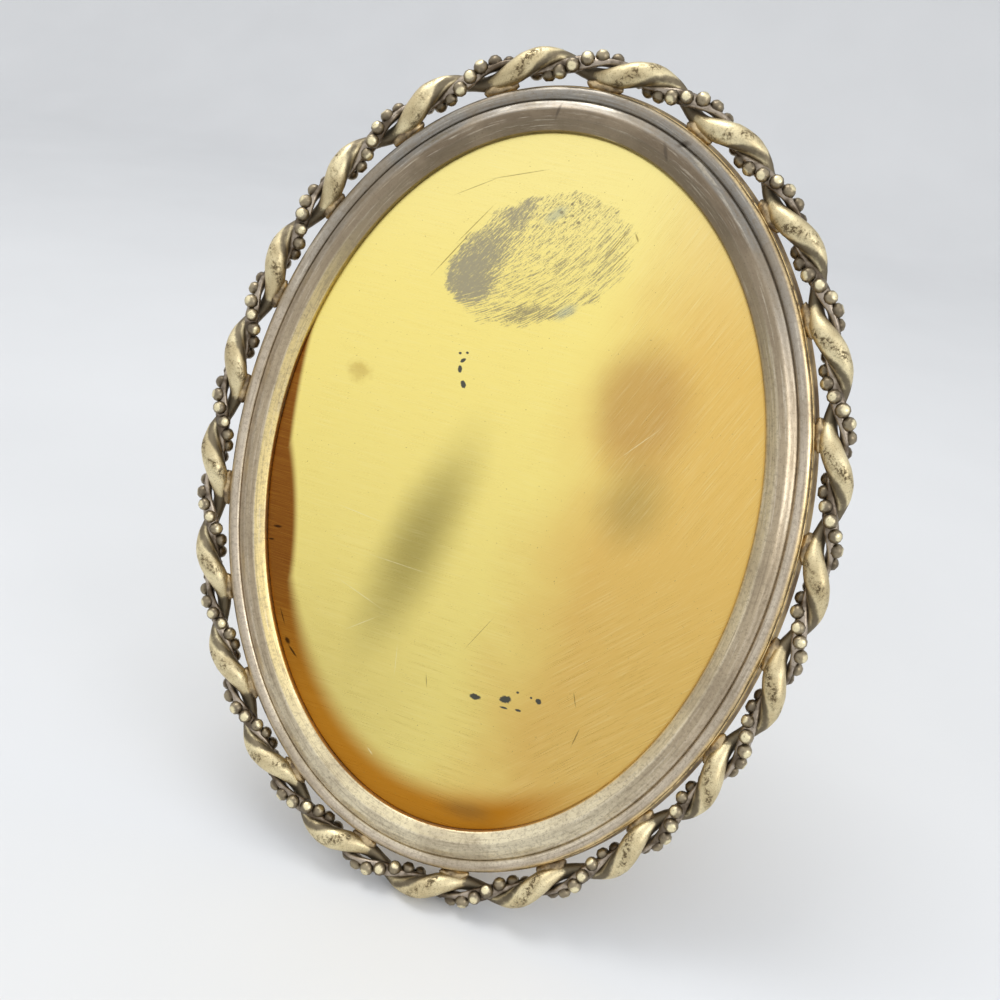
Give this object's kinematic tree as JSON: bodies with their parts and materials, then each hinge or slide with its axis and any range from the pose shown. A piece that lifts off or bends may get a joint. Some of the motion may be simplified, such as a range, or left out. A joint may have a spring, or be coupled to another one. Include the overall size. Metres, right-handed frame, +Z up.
{
  "type": "oval table picture frame",
  "caption": "Standing oval metal picture frame: rounded silvered ring, openwork border of a smooth and a beaded strand twisted together, gilt plate, hinged back strut",
  "frame": {"origin": "on the shelf, at the middle of the footprint of the standing frame", "axes": "+Z up, -Y towards the viewer of the picture, +X to the viewer's right; the oval leans back 22 degrees about X"},
  "size_m": [0.1608, 0.1002, 0.1964],
  "materials": {
    "silvered_moulding": "satin, worn and tarnished silver plate",
    "brass_band": "dull, aged",
    "gilt_rope": "antique gilt with dark hollows",
    "solder": "rough, darkened solder",
    "gilt_plate": "brushed and lacquered, scratched",
    "brass_fittings": "satin",
    "brass_leaf": "satin, brushed along its length",
    "steel_pins": "satin"
  },
  "bodies": {
    "frame": {"front_moulding": "silvered_moulding", "back_band": "brass_band", "smooth_strand": "gilt_rope", "beaded_wire": "gilt_rope", "solder_lugs": "solder", "backing_pan": "gilt_plate", "button_rivets": "steel_pins", "strut_bracket": "brass_fittings", "hinge_pin": "steel_pins"},
    "strut": {"strut": "brass_leaf"},
    "turn_button_1": {"turn_button_1": "brass_fittings"},
    "turn_button_2": {"turn_button_2": "brass_fittings"},
    "turn_button_3": {"turn_button_3": "brass_fittings"},
    "turn_button_4": {"turn_button_4": "brass_fittings"}
  },
  "joints": [
    {"name": "strut_hinge", "type": "hinge", "parent": "frame", "child": "strut", "pos_m": [0.00023, 0.00615, 0.11858], "axis": [1, 0, 0], "range_deg": [-42, 0]},
    {"name": "turn_button_1_swing", "type": "hinge", "parent": "frame", "child": "turn_button_1", "pos_m": [0.0486, 0.01971, 0.15692], "axis": [0, -0.9272, 0.3746], "range_deg": [-90, 90]},
    {"name": "turn_button_2_swing", "type": "hinge", "parent": "frame", "child": "turn_button_2", "pos_m": [0.0486, -0.02871, 0.03708], "axis": [0, -0.9272, 0.3746], "range_deg": [-90, 90]},
    {"name": "turn_button_3_swing", "type": "hinge", "parent": "frame", "child": "turn_button_3", "pos_m": [-0.04813, -0.02871, 0.03708], "axis": [0, -0.9272, 0.3746], "range_deg": [-90, 90]},
    {"name": "turn_button_4_swing", "type": "hinge", "parent": "frame", "child": "turn_button_4", "pos_m": [-0.04813, 0.01971, 0.15692], "axis": [0, -0.9272, 0.3746], "range_deg": [-90, 90]}
  ]
}
